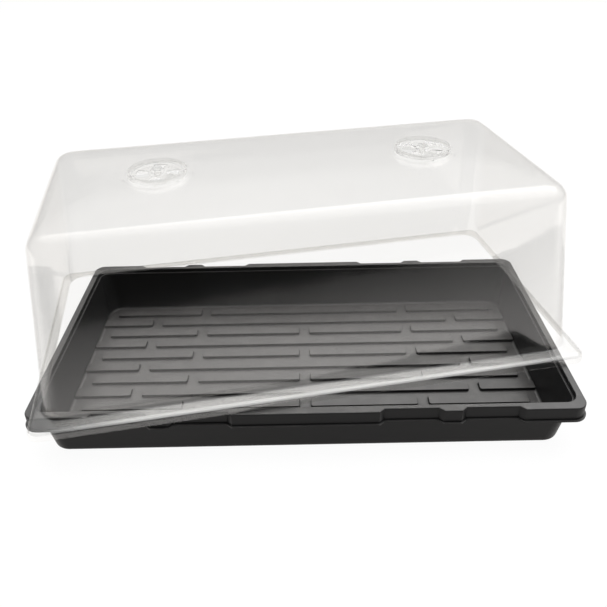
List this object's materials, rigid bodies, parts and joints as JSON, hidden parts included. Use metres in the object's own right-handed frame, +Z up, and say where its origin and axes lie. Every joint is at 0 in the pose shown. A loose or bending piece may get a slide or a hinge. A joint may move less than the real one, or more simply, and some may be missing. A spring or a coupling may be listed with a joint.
{
  "type": "humidity dome tray",
  "caption": "Shallow rectangular seed tray with a ribbed floor, and a tall clear dome with turning roof vents standing askew on its rim.",
  "frame": {"origin": "centre of the flat underside of the tray", "axes": "+X along the tray's length to the right, +Y to the back, +Z up; -Z is the outward normal of the resting face"},
  "size_m": [0.5978, 0.3774, 0.2568],
  "materials": {
    "tray_plastic": "black vacuum-formed sheet with a soft sheen",
    "clear_shell": "clear thin vacuum-formed plastic sheet, glossy",
    "clear_dial": "clear moulded plastic, glossy",
    "clear_rivet": "clear moulded plastic, glossy"
  },
  "bodies": {
    "tray": {"seed_tray": "tray_plastic"},
    "dome": {"humidity_dome": "clear_shell", "vent_rivet_left": "clear_rivet", "vent_rivet_right": "clear_rivet"},
    "dial_left": {"vent_dial_left": "clear_dial"},
    "dial_right": {"vent_dial_right": "clear_dial"}
  },
  "joints": [
    {"name": "dome_lift", "type": "slide", "parent": "tray", "child": "dome", "axis": [0, 0, 1], "range_m": [0, 0.25]},
    {"name": "vent_left_turn", "type": "hinge", "parent": "dome", "child": "dial_left", "pos_m": [-0.1374, -0.00535, 0.25], "axis": [0, 0, 1], "range_deg": [-36, 9]},
    {"name": "vent_right_turn", "type": "hinge", "parent": "dome", "child": "dial_right", "pos_m": [0.1244, 0.04175, 0.25], "axis": [0, 0, 1], "range_deg": [0, 45]}
  ]
}
